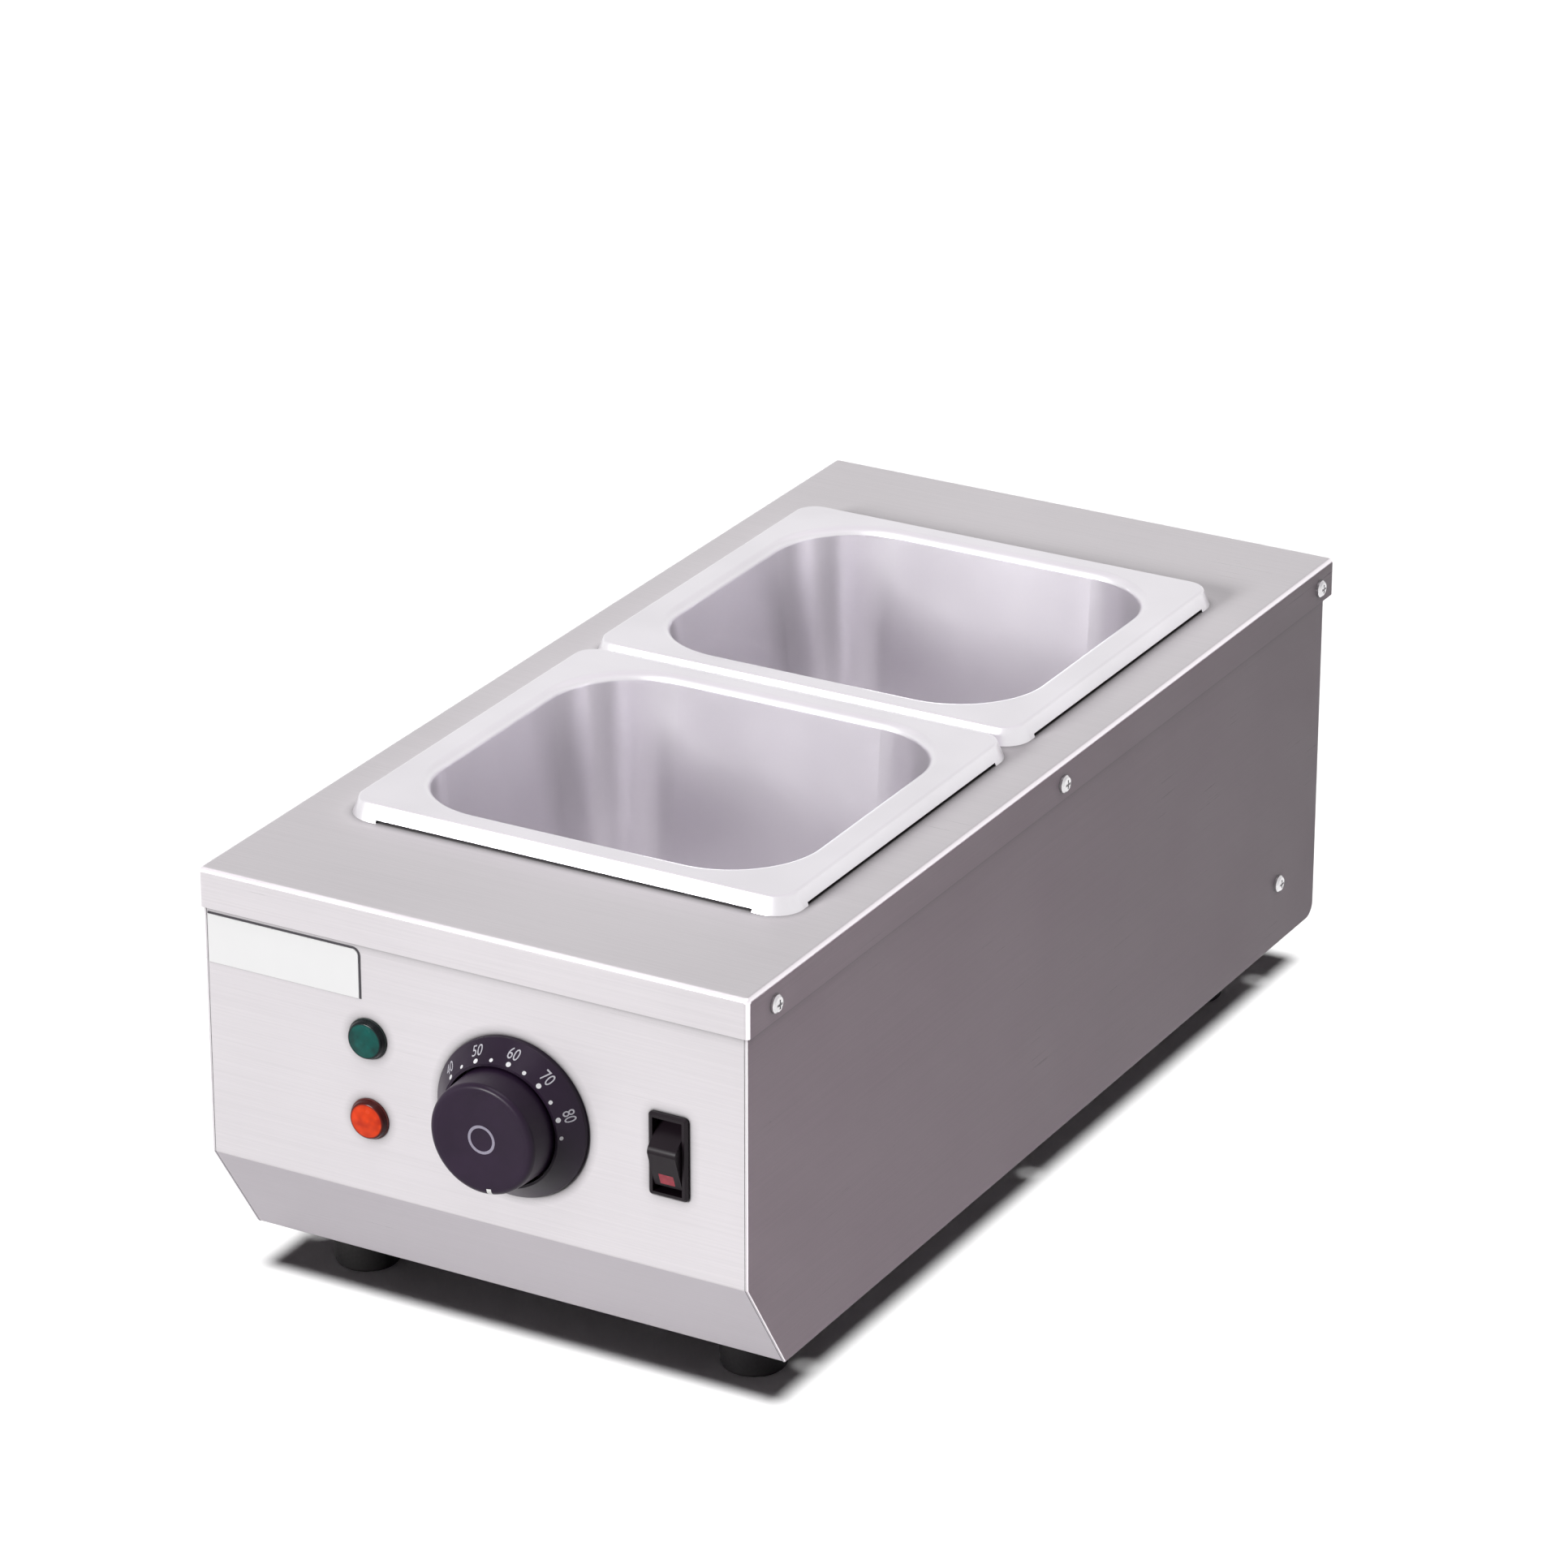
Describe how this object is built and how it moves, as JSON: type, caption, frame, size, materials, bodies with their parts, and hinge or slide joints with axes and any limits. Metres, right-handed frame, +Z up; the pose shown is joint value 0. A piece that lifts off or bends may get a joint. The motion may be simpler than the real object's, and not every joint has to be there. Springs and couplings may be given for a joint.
{
  "type": "chocolate melter",
  "caption": "Countertop electric chocolate melter: folded steel case with a heated well, lift-out deep pans, thermostat knob in a dial ring, indicator lamps and a rocker switch.",
  "frame": {"origin": "middle of the overall box, at the height of the surface that the feet stand on", "axes": "+X to the right as seen from the controls, +Y from the control panel to the back, +Z up"},
  "size_m": [0.2178, 0.4848, 0.1719],
  "materials": {
    "casing_steel": "fine brushed stainless sheet",
    "pan_steel": "polished drawn stainless steel",
    "well_steel": "rolled stainless sheet",
    "element_steel": "heat-darkened tube",
    "screw_steel": "bright zinc plate",
    "brass": "turned and stamped",
    "insulation": "glass-fibre mat",
    "knob_plastic": "satin black moulding",
    "dial_plastic": "semi-gloss black moulding",
    "black_plastic": "matt black moulding",
    "rocker_plastic": "glossy black moulding",
    "white_plastic": "white moulding",
    "green_lens": "dark green translucent lens",
    "orange_lens": "orange translucent lens",
    "red_lens": "red translucent window",
    "black_rubber": "matt black rubber"
  },
  "bodies": {
    "root": {"top_cover": "casing_steel", "front_panel": "casing_steel", "left_side_panel": "casing_steel", "right_side_panel": "casing_steel", "back_panel": "casing_steel", "base_plate": "casing_steel", "foot_screws": "screw_steel", "foot_nuts": "screw_steel", "heating_well": "well_steel", "well_nuts": "screw_steel", "insulation_blanket": "insulation", "heating_element": "element_steel", "element_rests": "well_steel", "element_glands": "brass", "element_gland_nuts": "brass", "element_terminals": "brass", "thermostat_body": "black_plastic", "thermostat_screws": "screw_steel", "thermostat_terminals": "brass", "capillary_tube": "element_steel", "sensor_bulb": "element_steel", "bulb_clips": "well_steel", "bulb_gland": "brass", "thermal_cutout": "black_plastic", "dial_bezel": "dial_plastic", "green_lamp_lens": "green_lens", "orange_lamp_lens": "orange_lens", "lamp_housings": "black_plastic", "lamp_terminals": "brass", "switch_housing": "black_plastic", "switch_terminals": "brass", "cover_screws": "screw_steel", "side_screws": "screw_steel", "back_screws": "screw_steel", "base_screws": "screw_steel", "terminal_bracket": "well_steel", "terminal_block": "white_plastic", "terminal_screws": "screw_steel", "earth_stud": "screw_steel", "cable_gland": "black_plastic", "gland_cap": "black_plastic", "gland_seal": "black_rubber", "gland_locknut": "black_plastic", "foot_front_left": "black_rubber", "foot_rear_left": "black_rubber", "foot_front_right": "black_rubber", "foot_rear_right": "black_rubber"},
    "knob": {"control_knob": "knob_plastic", "knob_pointer": "white_plastic", "knob_clip": "screw_steel", "thermostat_shaft": "screw_steel"},
    "rocker": {"switch_rocker": "rocker_plastic", "rocker_lens": "red_lens"},
    "front_pan": {"front_pan": "pan_steel"},
    "rear_pan": {"rear_pan": "pan_steel"}
  },
  "joints": [
    {"name": "knob_turn", "type": "hinge", "parent": "root", "child": "knob", "pos_m": [0.0163, -0.2312, 0.1015], "axis": [0, 1, 0], "range_deg": [0, 276]},
    {"name": "switch_tip", "type": "hinge", "parent": "root", "child": "rocker", "pos_m": [0.0763, -0.2152, 0.1015], "axis": [1, 0, 0], "range_deg": [0, 32]},
    {"name": "front_pan_lift", "type": "slide", "parent": "root", "child": "front_pan", "axis": [0, 0, 1], "range_m": [0, 0.11]},
    {"name": "rear_pan_lift", "type": "slide", "parent": "root", "child": "rear_pan", "axis": [0, 0, 1], "range_m": [0, 0.11]}
  ]
}
